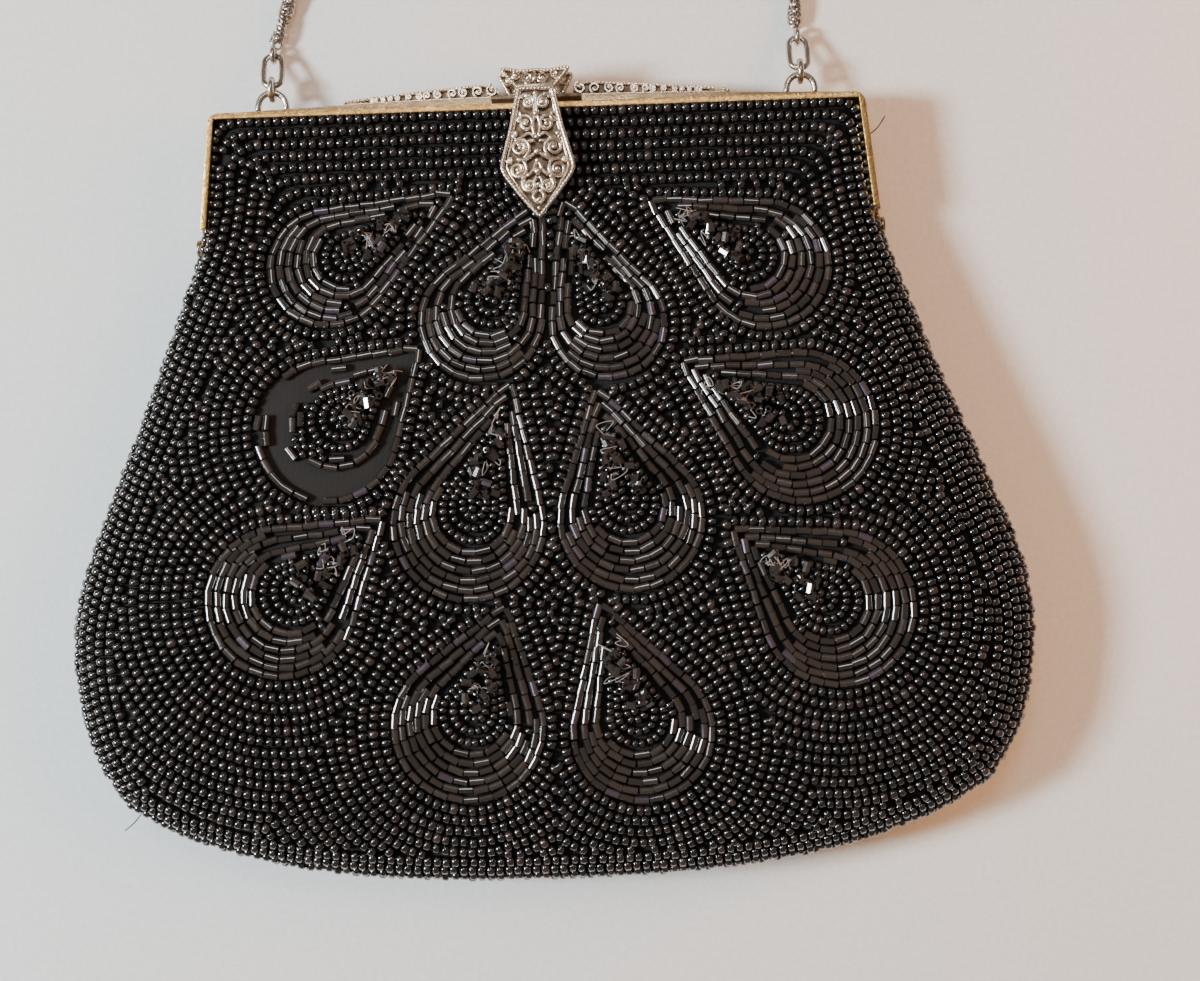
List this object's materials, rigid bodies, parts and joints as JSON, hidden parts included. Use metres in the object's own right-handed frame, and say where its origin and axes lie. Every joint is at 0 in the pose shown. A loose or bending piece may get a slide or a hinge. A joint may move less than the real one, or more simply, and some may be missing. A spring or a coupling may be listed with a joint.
{
  "type": "beaded evening bag",
  "caption": "Soft puffed beaded evening bag with a hinged bowed metal frame, a filigree drop clasp, wire lugs and a rope chain handle.",
  "frame": {"origin": "under the middle of the bag, on the table it lies on, measured without the chain and its rings", "axes": "+Z out of the beaded front, up from the table; +Y from the bottom seam towards the frame; +X to the bag's right as seen from the front"},
  "size_m": [0.196, 0.2787, 0.0235],
  "materials": {
    "gilt_frame": "worn gilt, slightly pitted along the lip",
    "clasp_silver": "antiqued cast filigree, dark in the hollows",
    "chain_silver": "bright plated wire, slightly warm",
    "beadwork": "black glass beads sewn on black cloth",
    "lining": "black satin"
  },
  "bodies": {
    "bag_body": {"rear_frame": "gilt_frame", "hinge_rivet_left": "gilt_frame", "hinge_rivet_right": "gilt_frame", "rear_crest": "clasp_silver", "gallery_left": "clasp_silver", "gallery_right": "clasp_silver", "handle_lug_left": "chain_silver", "handle_lug_right": "chain_silver", "front_panel_lower": "beadwork", "back_panel": "beadwork", "front_lining_lower": "lining", "back_lining": "lining", "inner_pocket": "lining"},
    "front_half": {"front_frame": "gilt_frame", "front_panel_upper": "beadwork", "front_lining_upper": "lining", "clasp_base": "gilt_frame", "clasp_bracket": "clasp_silver", "clasp_pin": "clasp_silver", "snap_post": "clasp_silver"},
    "clasp_drop": {"clasp_pendant": "clasp_silver"},
    "chain_handle": {"jump_ring_left": "chain_silver", "jump_ring_right": "chain_silver", "oval_ring_left": "chain_silver", "oval_ring_right": "chain_silver", "end_ring_left": "chain_silver", "end_ring_right": "chain_silver", "chain": "chain_silver"}
  },
  "joints": [
    {"name": "frame_opening", "type": "hinge", "parent": "bag_body", "child": "front_half", "pos_m": [0, 0.0485, 0.009], "axis": [1, 0, 0], "range_deg": [0, 70]},
    {"name": "clasp_lift", "type": "hinge", "parent": "front_half", "child": "clasp_drop", "pos_m": [0, 0.0784, 0.0161], "axis": [-1, 0, 0], "range_deg": [0, 110]},
    {"name": "handle_swing", "type": "hinge", "parent": "bag_body", "child": "chain_handle", "pos_m": [0, 0.0807, 0.0065], "axis": [1, 0, 0], "range_deg": [0, 110]}
  ]
}
